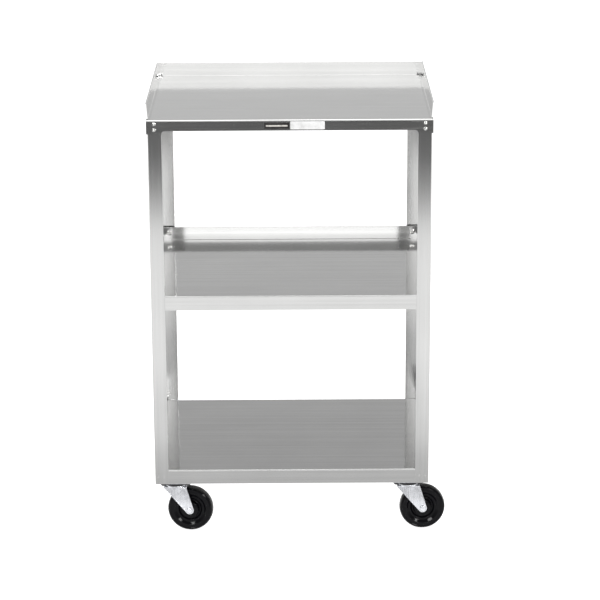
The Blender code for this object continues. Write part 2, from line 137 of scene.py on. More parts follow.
def shelf_grain(tree, point, along, across):
    """Coordinates whose grain runs across the cart, and front to back on its side faces."""
    geometry = node(tree, "ShaderNodeNewGeometry")
    parts = node(tree, "ShaderNodeSeparateXYZ", inputs={0: geometry.outputs["True Normal"]})
    side = maths(tree, "GREATER_THAN", maths(tree, "ABSOLUTE", parts.outputs[0]), 0.7)
    scales = node(tree, "ShaderNodeMix", data_type="VECTOR", inputs={
        0: side, 4: (along, across, across), 5: (across, along, across)})
    return stretched(tree, point, scales.outputs[1])


def leg_grain(tree, point, along, across):
    """Coordinates whose grain runs up the leg."""
    return stretched(tree, point, (across, across, along))


def brushed_steel(name, colour, roughness, grain, tangent):
    """Stainless sheet: fine drawn grain, faint broad cloudiness, a few longer scratches."""
    made, shader = new_material(name, colour, roughness, 1.0)
    tree = made.node_tree
    point = node(tree, "ShaderNodeTexCoord").outputs["Object"]
    fine = noise(tree, grain(tree, point, 6.0, 1500.0), 1.0, 3.0, 0.6)
    broad = noise(tree, grain(tree, point, 1.6, 160.0), 1.0, 2.0, 0.5)
    cloud = noise(tree, point, 9.0, 3.0, 0.55)
    scratch = noise(tree, grain(tree, point, 11.0, 900.0), 1.0, 1.0, 0.3)
    scratch = spread(tree, scratch, 0.0, 1.0, 0.70, 0.78)
    streaks = maths(tree, "ADD", maths(tree, "MULTIPLY", fine, 0.45), maths(tree, "MULTIPLY", broad, 0.55))
    mixed = maths(tree, "ADD", maths(tree, "MULTIPLY", streaks, 0.7), maths(tree, "MULTIPLY", cloud, 0.3))
    dark = tuple(part * 0.90 for part in colour)
    light = tuple(min(1.0, part * 1.08) for part in colour)
    shade = tint(tree, spread(tree, mixed, 0.0, 1.0, 0.3, 0.7), dark, light)
    rough = spread(tree, mixed, roughness * 0.8, roughness * 1.25, 0.3, 0.7)
    rough = maths(tree, "ADD", rough, maths(tree, "MULTIPLY", scratch, 0.08))
    drive(tree, shader, shade, rough)
    height = maths(tree, "ADD", streaks, maths(tree, "MULTIPLY", scratch, 0.3))
    emboss(tree, shader, 0.07, 0.00003, height)
    shader.inputs["Anisotropic"].default_value = 0.5
    tree.links.new(tangent(tree), shader.inputs["Tangent"])
    return made


def across_the_grain(grain_axis):
    """The direction in which a drawn surface spreads its highlights."""
    def build(tree):
        geometry = node(tree, "ShaderNodeNewGeometry")
        normal = geometry.outputs["True Normal"]
        if grain_axis == "Z":
            axis = (0, 0, 1)
        else:
            parts = node(tree, "ShaderNodeSeparateXYZ", inputs={0: normal})
            side = maths(tree, "GREATER_THAN", maths(tree, "ABSOLUTE", parts.outputs[0]), 0.7)
            mixed = node(tree, "ShaderNodeMix", data_type="VECTOR", inputs={
                0: side, 4: (1, 0, 0), 5: (0, 1, 0)})
            axis = mixed.outputs[1]
        turned = node(tree, "ShaderNodeVectorMath", operation="CROSS_PRODUCT", inputs={0: normal, 1: axis})
        return turned.outputs[0]
    return build


STEEL_COLOUR = (0.64, 0.64, 0.635)
SHELF_STEEL = brushed_steel("brushed_shelf", STEEL_COLOUR, 0.085, shelf_grain, across_the_grain("X"))
LEG_STEEL = brushed_steel("brushed_leg", STEEL_COLOUR, 0.12, leg_grain, across_the_grain("Z"))


def plated(name, colour, roughness):
    """Zinc plate: bright, faintly streaked and slightly uneven."""
    made, shader = new_material(name, colour, roughness, 1.0)
    tree = made.node_tree
    point = node(tree, "ShaderNodeTexCoord").outputs["Object"]
    drawn = noise(tree, stretched(tree, point, (420.0, 420.0, 40.0)), 1.0, 3.0, 0.6)
    cloud = noise(tree, point, 60.0, 3.0, 0.6)
    mixed = maths(tree, "ADD", maths(tree, "MULTIPLY", drawn, 0.5), maths(tree, "MULTIPLY", cloud, 0.5))
    dark = tuple(part * 0.80 for part in colour)
    light = tuple(min(1.0, part * 1.12) for part in colour)
    shade = tint(tree, spread(tree, mixed, 0.0, 1.0, 0.35, 0.65), dark, light)
    drive(tree, shader, shade, spread(tree, mixed, roughness * 0.75, roughness * 1.3, 0.35, 0.65))
    emboss(tree, shader, 0.15, 0.0001, mixed)
    return made


def moulded(name, colour, roughness):
    """Smooth moulded or painted surface with faint unevenness and handling marks."""
    made, shader = new_material(name, colour, roughness, 0.0)
    tree = made.node_tree
    point = node(tree, "ShaderNodeTexCoord").outputs["Object"]
    fine = noise(tree, point, 900.0, 2.0, 0.5)
    marks = noise(tree, point, 45.0, 4.0, 0.65)
    dark = tuple(part * 0.75 for part in colour)
    light = tuple(min(1.0, part * 1.35) for part in colour)
    shade = tint(tree, spread(tree, marks, 0.0, 1.0, 0.3, 0.7), dark, light)
    drive(tree, shader, shade, spread(tree, marks, roughness * 0.7, roughness * 1.5, 0.3, 0.7))
    emboss(tree, shader, 0.05, 0.0001, fine)
    return made


def within(tree, value, low, high, soft):
    """1 where the value lies between two limits, 0 outside, with soft edges."""
    rise = spread(tree, value, 0.0, 1.0, low - soft, low + soft)
    fall = spread(tree, value, 1.0, 0.0, high - soft, high + soft)
    return maths(tree, "MULTIPLY", rise, fall)


def nameplate_finish():
    """Black enamel with one plain pale bar, worn thin in places."""
    low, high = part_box("nameplate")
    made, shader = new_material("nameplate_black", (0.02, 0.018, 0.017), 0.28, 0.0)
    tree = made.node_tree
    point = node(tree, "ShaderNodeTexCoord").outputs["Object"]
    parts = node(tree, "ShaderNodeSeparateXYZ", inputs={0: point})
    width, height = high.x - low.x, high.z - low.z
    across = within(tree, parts.outputs[0], low.x + 0.07 * width, high.x - 0.07 * width, 0.3 * MM)
    up = within(tree, parts.outputs[2], low.z + 0.36 * height, low.z + 0.60 * height, 0.3 * MM)
    worn = spread(tree, noise(tree, point, 260.0, 4.0, 0.7), 0.6, 1.0, 0.36, 0.56)
    bar = maths(tree, "MULTIPLY", maths(tree, "MULTIPLY", across, up), worn)
    marks = spread(tree, noise(tree, point, 45.0, 4.0, 0.65), 0.0, 1.0, 0.3, 0.7)
    enamel = tint(tree, marks, (0.010, 0.009, 0.009), (0.028, 0.024, 0.022))
    colour = node(tree, "ShaderNodeMix", data_type="RGBA", inputs={
        0: bar, 6: enamel, 7: (0.72, 0.69, 0.64, 1)})
    rough = maths(tree, "ADD", spread(tree, marks, 0.22, 0.36), maths(tree, "MULTIPLY", bar, 0.12))
    drive(tree, shader, colour.outputs[2], rough)
    return made


def wheel_finish():
    """Glossy black moulding whose tread is duller and dusty where it rolls."""
    made, shader = new_material("wheel_black", (0.005, 0.005, 0.006), 0.10, 0.0)
    tree = made.node_tree
    point = node(tree, "ShaderNodeTexCoord").outputs["Object"]
    flat = stretched(tree, point, (1.0, 1.0, 0.0))
    radius = node(tree, "ShaderNodeVectorMath", operation="LENGTH", inputs={0: flat}).outputs["Value"]
    worn = spread(tree, radius, 0.0, 1.0, WHEEL_RADIUS - 2 * MM, WHEEL_RADIUS - 0.5 * MM)
    marks = noise(tree, point, 70.0, 5.0, 0.65)
    dust = maths(tree, "MULTIPLY", worn, spread(tree, marks, 0.15, 1.0, 0.40, 0.62))
    shade = tint(tree, dust, (0.004, 0.004, 0.005), (0.030, 0.029, 0.027))
    handled = spread(tree, marks, 0.06, 0.13, 0.35, 0.65)
    drive(tree, shader, shade, maths(tree, "ADD", handled, maths(tree, "MULTIPLY", dust, 0.45)))
    emboss(tree, shader, 0.06, 0.0001, noise(tree, point, 700.0, 2.0, 0.5))
    shader.inputs["Specular IOR Level"].default_value = 0.10
    return made


ZINC = plated("zinc_plate", (0.70, 0.71, 0.74), 0.26)
RIVET_STEEL = plated("rivet_steel", (0.42, 0.42, 0.41), 0.24)
BEARING_STEEL = plated("bearing_steel", (0.50, 0.50, 0.51), 0.20)
# The near-black colour of the raceway cup and caster plate bolts is painted shade: it stands in for the shadow
# under the bottom shelf.
UNDERSHELF_PAINTED_SHADE = moulded("dark_raceway", (0.016, 0.016, 0.017), 0.38)
WHEEL_BLACK = wheel_finish()
BUSH_BRONZE = plated("bush_bronze", (0.45, 0.33, 0.18), 0.38)
PLATE_BLACK = nameplate_finish()
LABEL_WHITE = moulded("label_white", (0.86, 0.86, 0.85), 0.50)

SLOT_MATERIALS = {
    "stainless_shelf": SHELF_STEEL,
    "stainless_leg": LEG_STEEL,
    "rivet": RIVET_STEEL,
    "nameplate": PLATE_BLACK,
    "label": LABEL_WHITE,
    "zinc_plate": ZINC,
    "dark_raceway": UNDERSHELF_PAINTED_SHADE,
    "bearing_steel": BEARING_STEEL,
    "wheel": WHEEL_BLACK,
    "bush": BUSH_BRONZE,
}


def dress_frame():
    """Gives every CAD node the finish of its material slot."""
    for entry in frame["record"]["subparts"]:
        target = frame["nodes"][entry["node"]]
        target.data.materials.clear()
        target.data.materials.append(SLOT_MATERIALS[entry["material_slot"]])


dress_frame()


# ------------------------------------------------------------ mesh making

def mesh_from(shape, name):
    """Closes a bmesh into mesh data with its faces pointing out."""
    bmesh.ops.recalc_face_normals(shape, faces=shape.faces)
    data = bpy.data.meshes.new(name)
    shape.to_mesh(data)
    shape.free()
    return data


def arc(centre, radius, start, end, steps):
    """Points on an arc, from one angle to another in degrees."""
    angles = [math.radians(start + (end - start) * step / steps) for step in range(steps + 1)]
    return [(centre[0] + radius * math.cos(a), centre[1] + radius * math.sin(a)) for a in angles]


def rounded(corners, closed=True, steps=6):
    """An outline whose (x, y, radius) corners are rounded and whose (x, y) corners stay sharp."""
    count = len(corners)
    points = []
    for index, corner in enumerate(corners):
        here = Vector(corner[:2])
        at_end = not closed and index in (0, count - 1)
        if len(corner) == 2 or at_end:
            points.append(tuple(here))
            continue
        back = (Vector(corners[index - 1][:2]) - here).normalized()
        ahead = (Vector(corners[(index + 1) % count][:2]) - here).normalized()
        half = back.angle(ahead) / 2
        centre = here + (back + ahead).normalized() * corner[2] / math.sin(half)
        first = here + back * corner[2] / math.tan(half) - centre
        last = here + ahead * corner[2] / math.tan(half) - centre
        sweep = math.atan2(first.x * last.y - first.y * last.x, first.dot(last))
        for step in range(steps + 1):
            turned_by = Matrix.Rotation(sweep * step / steps, 2)
            points.append(tuple(centre + turned_by @ first))
    return points


def prism(name, outline, low, high, axes="XY"):
    """A solid with that outline in the plane of two axes, from low to high along the third."""
    third = ({"X", "Y", "Z"} - set(axes)).pop()
    order = [axes[0], axes[1], third]
    shape = bmesh.new()
    rings = []
    for level in (low, high):
        ring = []
        for first, second in outline:
            values = dict(zip(order, (first, second, level)))
            ring.append(shape.verts.new((values["X"], values["Y"], values["Z"])))
        rings.append(ring)
        shape.faces.new(ring)
    count = len(outline)
    for index in range(count):
        ahead = (index + 1) % count
        shape.faces.new((rings[0][index], rings[0][ahead], rings[1][ahead], rings[1][index]))
    return mesh_from(shape, name)


def block(name, low, high, picked=None, radius=0.0, steps=8):
    """A box between two corners; picked(edge) says which edges get the radius."""
    low, high = Vector(low), Vector(high)
    shape = bmesh.new()
    bmesh.ops.create_cube(shape, size=1)
    bmesh.ops.scale(shape, vec=high - low, verts=shape.verts)
    bmesh.ops.translate(shape, vec=(low + high) / 2, verts=shape.verts)
    if picked:
        edges = [edge for edge in shape.edges if picked(edge)]
        bmesh.ops.bevel(shape, geom=edges, offset=radius, segments=steps, profile=0.5, affect="EDGES")
    return mesh_from(shape, name)


def lathe(name, path, sides, closed=False):
    """A turned solid about Z from (radius, height) points that run down its outer side."""
    shape = bmesh.new()
    rings = []
    for radius, height in path:
        if radius < 1e-7:
            rings.append([shape.verts.new((0, 0, height))])
            continue
        angles = [2 * math.pi * side / sides for side in range(sides)]
        rings.append([shape.verts.new((radius * math.cos(angle), radius * math.sin(angle), height))
                      for angle in angles])
    pairs = list(zip(rings, rings[1:]))
    if closed:
        pairs.append((rings[-1], rings[0]))
    for upper, lower in pairs:
        for side in range(sides):
            ahead = (side + 1) % sides
            if len(upper) == 1:
                shape.faces.new((upper[0], lower[side], lower[ahead]))
            elif len(lower) == 1:
                shape.faces.new((upper[ahead], upper[side], lower[0]))
            else:
                shape.faces.new((upper[side], lower[side], lower[ahead], upper[ahead]))
    return mesh_from(shape, name)


def rod(radius, low, high, sides=48):
    return lathe("rod", [(0, high), (radius, high), (radius, low), (0, low)], sides)


def moved(data, matrix):
    data.transform(matrix)
    return data


def joined(name, parts):
    """Several meshes as one mesh of separate solids."""
    shape = bmesh.new()
    for part in parts:
        shape.from_mesh(part)
    data = bpy.data.meshes.new(name)
    shape.to_mesh(data)
    shape.free()
    return data


def carved(name, data, *steps):
    """The mesh after a list of (operation, mesh) steps, such as ("DIFFERENCE", hole)."""
    base = bpy.data.objects.new(name, data)
    bpy.context.scene.collection.objects.link(base)
    tools = []
    for operation, tool_data in steps:
        tool = bpy.data.objects.new("tool", tool_data)
        bpy.context.scene.collection.objects.link(tool)
        step = base.modifiers.new("step", "BOOLEAN")
        step.operation = operation
        step.solver = "EXACT"
        step.object = tool
        tools.append(tool)
    evaluated = base.evaluated_get(bpy.context.evaluated_depsgraph_get())
    result = bpy.data.meshes.new_from_object(evaluated)
    for item in [base, *tools]:
        bpy.data.objects.remove(item)
    result.name = name
    return result


def show(name, data, look, body, replaced=(), place=None, edge=0.0, smooth=38):
    """Adds one piece with its finish, edge radius and shading, on its body and in place of its nodes.

    Turned wheels keep their own smooth normals, which the weighting would make patchy.
    """
    data.materials.clear()
    data.materials.append(look)
    data.shade_smooth()
    data.set_sharp_from_angle(angle=math.radians(smooth))
    made = bpy.data.objects.new(name, data)
    bpy.context.scene.collection.objects.link(made)
    if place is not None:
        made.matrix_world = place
    if edge:
        round_off = made.modifiers.new("edges", "BEVEL")
        round_off.width = edge
        round_off.segments = 2
        round_off.limit_method = "ANGLE"
        round_off.angle_limit = math.radians(50)
        round_off.use_clamp_overlap = True
        round_off.harden_normals = False
    if not body.startswith("wheel_"):
        even = made.modifiers.new("even", "WEIGHTED_NORMAL")
        even.keep_sharp = True
        even.weight = 50
    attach(made, body)
    if replaced:
        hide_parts(*replaced)
    return made


# ------------------------------------------------------------ the cart's sizes

GAP = 0.3 * MM
SHEET = 1.2 * MM
LEG_SHEET = 1.6 * MM
LEG_EDGE = 0.4 * MM
BEND_RADIUS = 2.4 * MM
FILLET = 0.7 * MM
INNER_BEND = 0.8 * MM
SURFACE = {mount["name"]: mount["pos_m"][2] for mount in frame["record"]["mounts"]}
TOP, MIDDLE = (SURFACE[f"{level}_surface"] for level in ("top", "middle"))
HALF_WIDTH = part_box("leg_front_right")[1].x
HALF_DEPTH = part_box("leg_rear_right")[1].y
TOP_HALF_WIDTH = HALF_WIDTH + GAP + SHEET
TOP_HALF_DEPTH = HALF_DEPTH + GAP + SHEET
BOTTOM_LOW, BOTTOM_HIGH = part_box("bottom_shelf")
MIDDLE_LOW, MIDDLE_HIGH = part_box("middle_shelf")
TOP_LOW, TOP_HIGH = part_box("top_shelf")
LEG_FLANGE = HALF_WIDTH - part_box("leg_front_right")[0].x
TOP_FLANGE = 19.5 * MM
NOTCH_CORNER = 6 * MM
HEM_HEIGHT = 7 * MM
UPSTAND_LEAN = 1.3 * MM
UPSTAND_CREASE = 10 * MM
SLOT_WIDTH = 1.6 * MM
SLOT_LOW = 1.5 * MM
SLOT_HIGH = 13 * MM
GUARD_SETBACK = 14 * MM
GUARD_END_SLOPE = 5 * MM
CORNER_HOLE = 4.4 * MM
OVERCUT = 10 * MM


def level_edges(height):
    """A picker for the edges that lie at one height."""
    return lambda edge: all(abs(vert.co.z - height) < GAP for vert in edge.verts)


def pan(name, low, high, front_only=False):
    """An open-bottomed tray with round bends: a rounded block less a rounded core."""
    def bends(height):
        level = level_edges(height)
        return lambda edge: level(edge) and not (front_only and max(v.co.y for v in edge.verts) > 0)

    surface = high[2]
    outside = block(name, low, high, bends(surface), BEND_RADIUS)
    core_low = (low[0] + SHEET, low[1] + SHEET, low[2] - OVERCUT)
    core_high = (high[0] - SHEET, high[1] - SHEET, surface - SHEET)
    core = block(name, core_low, core_high, bends(surface - SHEET), BEND_RADIUS - SHEET)
    return carved(name, outside, ("DIFFERENCE", core))


def guard_outline(inner, outer, foot, surface, top, lean, crease=None):
    """A turned-up guard: a concave bend from the shelf, a wall that leans out, and a round hem.

    With a crease, the wall stands upright up to that height and leans only above it.
    """
    buried = 0.03 * MM
    hem_radius = (outer - inner) / 2
    hem = arc((outer + lean - hem_radius, top - hem_radius), hem_radius, 0, 180, 8)
    bend = arc((inner - FILLET, surface - buried + FILLET), FILLET, 0, -90, 6)
    creases = [[(x, crease)] if crease else [] for x in (outer, inner)]
    return [(outer, foot)] + creases[0] + hem + creases[1] + bend + [(inner - FILLET, foot)]


def rear_guard():
    outer = TOP_HALF_DEPTH - GAP / 3
    outline = guard_outline(outer - 2 * SHEET, outer, TOP - SHEET + GAP, TOP, TOP_HIGH.z, 0)
    reach = TOP_HALF_WIDTH + GAP
    return prism("rear_guard", outline, -reach, reach, "YZ")


def side_guard(side):
    outer = TOP_HALF_WIDTH - GAP / 3
    flare = TOP_HIGH.x - TOP_HALF_WIDTH
    outline = guard_outline(outer - 2 * SHEET, outer, TOP - SHEET + GAP, TOP, TOP_HIGH.z, flare)
    outline = [(side * x, z) for x, z in outline]
    front = -TOP_HALF_DEPTH + GUARD_SETBACK
    data = prism("side_guard", outline, front, TOP_HALF_DEPTH - GAP, "XZ")
    for vert in data.vertices:
        rise = max(0.0, vert.co.z - TOP) / (TOP_HIGH.z - TOP)
        if vert.co.y < 0:
            vert.co.y += GUARD_END_SLOPE * rise
    return data


def make_top_shelf():
    low = (-TOP_HALF_WIDTH, -TOP_HALF_DEPTH, TOP_LOW.z)
    high = (TOP_HALF_WIDTH, TOP_HALF_DEPTH, TOP)
    tray = pan("top_shelf_sheet", low, high, front_only=True)
    tab_edge = HALF_WIDTH - LEG_FLANGE
    under = TOP - TOP_FLANGE
    notch = prism("notch", rounded([
        (-tab_edge, TOP_LOW.z - OVERCUT), (-tab_edge, under, NOTCH_CORNER), (tab_edge, under, NOTCH_CORNER),
        (tab_edge, TOP_LOW.z - OVERCUT)]), -TOP_HALF_DEPTH - OVERCUT, -TOP_HALF_DEPTH + OVERCUT, "XZ")
    face = -TOP_HALF_DEPTH
    hem = prism("hem", rounded([
        (face + GAP / 3, under + HEM_HEIGHT), (face + GAP / 3, under, SHEET * 0.9),
        (face + 2 * SHEET, under, SHEET * 0.9), (face + 2 * SHEET, under + HEM_HEIGHT)]),
        -tab_edge + NOTCH_CORNER, tab_edge - NOTCH_CORNER, "YZ")
    inner_x = TOP_HALF_WIDTH - 2 * SHEET
    inner_y = TOP_HALF_DEPTH - 2 * SHEET
    holes = joined("holes", [
        moved(rod(CORNER_HOLE, TOP - 4 * SHEET, TOP + 4 * MM), Matrix.Translation((
            side * (inner_x - CORNER_HOLE * 0.8), inner_y - CORNER_HOLE * 0.8, 0))) for side in (-1, 1)])
    data = carved("top_shelf_sheet", tray, ("DIFFERENCE", notch), ("UNION", hem), ("UNION", side_guard(-1)),
                  ("UNION", side_guard(1)), ("UNION", rear_guard()), ("DIFFERENCE", holes))
    show("top_shelf_sheet", data, SHELF_STEEL, "cart_frame", ["top_shelf"])


def make_middle_shelf():
    low = tuple(MIDDLE_LOW)
    high = (MIDDLE_HIGH.x, MIDDLE_HIGH.y, MIDDLE)
    tray = pan("middle_shelf_sheet", low, high)
    outer = MIDDLE_HIGH.y
    clear = block("clear", (low[0] + SHEET, outer - SHEET - GAP, low[2] - OVERCUT),
                  (high[0] - SHEET, outer + OVERCUT, MIDDLE - SHEET - BEND_RADIUS))
    outline = guard_outline(outer - SHEET, outer, MIDDLE - SHEET - GAP, MIDDLE, MIDDLE_HIGH.z, UPSTAND_LEAN,
                            MIDDLE + UPSTAND_CREASE)
    upstand = prism("upstand", outline, low[0], high[0], "YZ")
    slot_end, past_end = -low[0] - SLOT_WIDTH, -low[0] + OVERCUT
    slots = joined("slots", [
        block("slot", (left, outer - OVERCUT, MIDDLE + SLOT_LOW),
              (right, outer + OVERCUT, MIDDLE + SLOT_HIGH))
        for left, right in ((slot_end, past_end), (-past_end, -slot_end))])
    data = carved("middle_shelf_sheet", tray, ("DIFFERENCE", clear), ("UNION", upstand),
                  ("DIFFERENCE", slots))
    show("middle_shelf_sheet", data, SHELF_STEEL, "cart_frame", ["middle_shelf"])


def make_bottom_shelf():
    data = pan("bottom_shelf_sheet", tuple(BOTTOM_LOW), tuple(BOTTOM_HIGH))
    show("bottom_shelf_sheet", data, SHELF_STEEL, "cart_frame", ["bottom_shelf"])


WELD_RADIUS = 2.6 * MM
WELD_DEPTH = 0.35 * MM
WELD_HEIGHT = 15 * MM
WELD_INSETS = (6.8 * MM, 17.4 * MM)


def weld_marks(side, end):
    """Shallow round dents of the spot welds that hold the bottom shelf to a leg's front or rear face."""
    marks = []
    for inset in WELD_INSETS:
        dent = lathe("dent", [(0, WELD_DEPTH), (WELD_RADIUS, WELD_DEPTH), (WELD_RADIUS * 0.85, 0.1 * MM),
                              (WELD_RADIUS * 0.55, -WELD_DEPTH * 0.6), (0, -WELD_DEPTH)], 24)
        turn = Matrix.Rotation(-end * math.pi / 2, 4, "X")
        place = (side * (HALF_WIDTH - inset), end * HALF_DEPTH, BOTTOM_LOW.z + WELD_HEIGHT)
        marks.append(moved(dent, Matrix.Translation(place) @ turn))
    return joined("marks", marks)


def make_leg(corner, side, end):
    low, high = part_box(f"leg_{corner}")
    outline = rounded([
        (LEG_FLANGE, LEG_SHEET, LEG_EDGE), (LEG_FLANGE, 0, LEG_EDGE), (0, 0, BEND_RADIUS),
        (0, LEG_FLANGE, LEG_EDGE), (LEG_SHEET, LEG_FLANGE, LEG_EDGE), (LEG_SHEET, LEG_SHEET, INNER_BEND)])
    outline = [(side * (HALF_WIDTH - x), end * (HALF_DEPTH - y)) for x, y in outline]
    angle = prism("leg", outline, low.z, high.z)
    data = carved(f"leg_angle_{corner}", angle, ("DIFFERENCE", weld_marks(side, end)))
    show(f"leg_angle_{corner}", data, LEG_STEEL, "cart_frame", [f"leg_{corner}"])


RIVET_DIMPLE = 0.9 * MM
RIVET_RISE = 1.8 * MM
RIVET_SHANK = 1.9 * MM
RIVET_TAIL = 2.8 * MM
RIVET_DOME = (0.42, 0.6, 0.8, 1.0, 1.2, 1.35)


def rivet_mesh(name, low, high, facing):
    """A button rivet in a CAD rivet's place: domed head with a small centre dimple, shank and set tail."""
    radius = (high.x - low.x) / 2
    tail = low.y - high.y + RIVET_RISE
    dome = [(radius * math.sin(angle), RIVET_RISE * math.cos(angle)) for angle in RIVET_DOME]
    path = [(0, RIVET_RISE * 0.55), (RIVET_DIMPLE * 0.7, RIVET_RISE * 0.6)] + dome + [
        (radius, 0.15 * MM), (radius * 0.97, 0), (RIVET_SHANK, 0), (RIVET_SHANK, tail + 1.1 * MM),
        (RIVET_TAIL, tail + 1.1 * MM), (RIVET_TAIL - 0.5 * MM, tail + 0.3 * MM), (0, tail)]
    data = lathe(name, path, 32)
    head_y = low.y + RIVET_RISE if facing < 0 else high.y - RIVET_RISE
    middle = Vector(((low.x + high.x) / 2, head_y, (low.z + high.z) / 2))
    return moved(data, Matrix.Translation(middle) @ Matrix.Rotation(-facing * math.pi / 2, 4, "X"))


def make_rivets():
    names = [entry["node"] for entry in frame["record"]["subparts"] if entry["material_slot"] == "rivet"]
    for name in names:
        facing = 1 if name.startswith("corner_rivet_rear") else -1
        low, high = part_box(name)
        data = rivet_mesh(name, low, high, facing)
        show(f"{name}_head", data, RIVET_STEEL, "cart_frame", [name])


# ------------------------------------------------------------ casters

JOINTS = {joint["name"]: joint for joint in frame["joints"]}
LIE_DOWN = Matrix.Rotation(math.pi / 2, 4, "X")
TREAD_HALF = 12 * MM
HUB_HALF = 13.4 * MM
WHEEL_BORE = 6.3 * MM
FORK_SHEET = 2.2 * MM
FORK_INNER_HALF = 14 * MM
FORK_TOP = 89 * MM
FORK_END_RADIUS = 7.8 * MM
FORK_BACK = -21 * MM
FORK_FRONT = 21 * MM
FORK_THROAT = 86 * MM
RACE_TOP = 91.4 * MM
RACE_RADIUS = 20.2 * MM
PANEL_RIM = 1.7 * MM
PANEL_DEPTH = 0.35 * MM
PANEL_DROP = 6 * MM
FORK_SHOULDER = 3 * MM
FORK_INNER_SHOULDER = 1 * MM
AXLE = 3.9 * MM
AXLE_HEAD = 5.8 * MM
AXLE_TAIL = 5 * MM
AXLE_NUT = 6.9 * MM
AXLE_NUT_HEIGHT = 4.4 * MM
KING_PIN = 5 * MM
CUP_SLOPE = 5 * MM
BOLT_SPACING = 44 * MM
BOLT_RADIUS = 3.0 * MM
BOLT_HEAD = 5.6 * MM
BOLT_HEAD_DROP = 4.6 * MM
BOLT_TAIL = 6.5 * MM
BOLT_NUT_HEIGHT = 4.8 * MM
WASHER = 6.2 * MM
WASHER_HEIGHT = 1 * MM


def swivel_place(corner):
    """The swivel's frame: origin on the floor under its axis, +X the way the wheel trails."""
    pivot = Vector(JOINTS[f"swivel_turn_{corner}"]["pos_m"])
    centre = Vector(JOINTS[f"wheel_spin_{corner}"]["pos_m"])
    trail = centre - pivot
    angle = math.atan2(trail.y, trail.x)
    return Matrix.Translation((pivot.x, pivot.y, 0)) @ Matrix.Rotation(angle, 4, "Z"), trail.xy.length


def wheel_path():
    """The wheel's section: raised hub, stepped dish, rim face, a fine ridge, rounded shoulder and crown."""
    side = rounded([
        (WHEEL_BORE, HUB_HALF), (15.4 * MM, HUB_HALF, 1.8 * MM), (17.4 * MM, 5.4 * MM, 1.4 * MM),
        (19.6 * MM, 5.2 * MM, 2.2 * MM), (22.6 * MM, 7.9 * MM, 0.8 * MM), (25.4 * MM, 7.2 * MM, 4.0 * MM),
        (30.6 * MM, 11.4 * MM, 1.2 * MM), (36.4 * MM, 11.5 * MM, 0.8 * MM),
        (37.2 * MM, TREAD_HALF, 0.5 * MM), (38.6 * MM, 11.7 * MM, 1.2 * MM), (41.2 * MM, 9.2 * MM, 2.4 * MM),
        (WHEEL_RADIUS - 0.3 * MM, 5.0 * MM, 3.0 * MM), (WHEEL_RADIUS, 0)], closed=False, steps=6)
    return side + [(radius, -height) for radius, height in reversed(side[:-1])]


def fork_mesh(trail):
    """A U-shaped pressing with tapered legs, a round shoulder and the race standing on its crown."""
    half = FORK_INNER_HALF + FORK_SHEET

    def tangent_angle(x, z, sign):
        away = math.atan2(z - WHEEL_RADIUS, x - trail)
        reach = math.hypot(z - WHEEL_RADIUS, x - trail)
        return math.degrees(away + sign * math.acos(FORK_END_RADIUS / reach))

    back = tangent_angle(FORK_BACK, FORK_THROAT, 1)
    front = tangent_angle(FORK_FRONT, FORK_TOP, -1)
    outline = [(FORK_FRONT, FORK_TOP), (FORK_BACK, FORK_TOP), (FORK_BACK, FORK_THROAT)]
    outline += arc((trail, WHEEL_RADIUS), FORK_END_RADIUS, back, front + 360, 20)
    data = prism("fork", outline, -half, half, "XZ")
    shape = bmesh.new()
    shape.from_mesh(data)
    shoulders = [edge for edge in shape.edges if all(abs(v.co.z - FORK_TOP) < GAP for v in edge.verts)
                 and abs(edge.verts[0].co.y - edge.verts[1].co.y) < GAP]
    bmesh.ops.bevel(shape, geom=shoulders, offset=FORK_SHOULDER, segments=8, profile=0.5, affect="EDGES")
    data = mesh_from(shape, "fork")
    ceiling = FORK_TOP - FORK_SHEET

    def shoulder_line(edge):
        level = all(abs(vert.co.z - ceiling) < GAP for vert in edge.verts)
        return level and abs(edge.verts[0].co.y - edge.verts[1].co.y) < GAP

    inner = block("inner", (-2 * WHEEL_RADIUS, -FORK_INNER_HALF, 0),
                  (2 * WHEEL_RADIUS, FORK_INNER_HALF, ceiling), shoulder_line, FORK_INNER_SHOULDER, 4)
    race = lathe("race", rounded([
        (0, RACE_TOP), (RACE_RADIUS, RACE_TOP, 2 * MM), (RACE_RADIUS, FORK_TOP - FORK_SHEET / 2),
        (0, FORK_TOP - FORK_SHEET / 2)], closed=False), 64)
    pin_hole = rod(KING_PIN + GAP, FORK_THROAT - OVERCUT, RACE_TOP + OVERCUT)
    axle_hole = moved(rod(AXLE + GAP, -half - OVERCUT, half + OVERCUT),
                      Matrix.Translation((trail, 0, WHEEL_RADIUS)) @ LIE_DOWN)
    top = FORK_TOP - PANEL_DROP
    panel = [(FORK_FRONT - 1.3 * PANEL_RIM, top), (FORK_BACK + 2.4 * PANEL_RIM, top)]
    panel += arc((trail, WHEEL_RADIUS), FORK_END_RADIUS - PANEL_RIM, back, front + 360, 20)
    pressed = joined("panels", [
        prism("panel", panel, side * half - PANEL_DEPTH, side * half + PANEL_DEPTH, "XZ")
        for side in (-1, 1)])
    return carved("fork", data, ("DIFFERENCE", inner), ("DIFFERENCE", pressed), ("DIFFERENCE", axle_hole),
                  ("UNION", race), ("DIFFERENCE", pin_hole))


def nut_mesh(radius, bottom, top, bore=0.0, sides=6):
    """A hexagon with chamfered corners, solid or bored."""
    chamfer, flat = 0.6 * MM, radius * 0.88
    outside = [(flat, top), (radius, top - chamfer), (radius, bottom + chamfer), (flat, bottom)]
    if bore:
        return lathe("nut", [(bore, top)] + outside + [(bore, bottom)], sides, closed=True)
    return lathe("nut", [(0, top)] + outside + [(0, bottom)], sides)


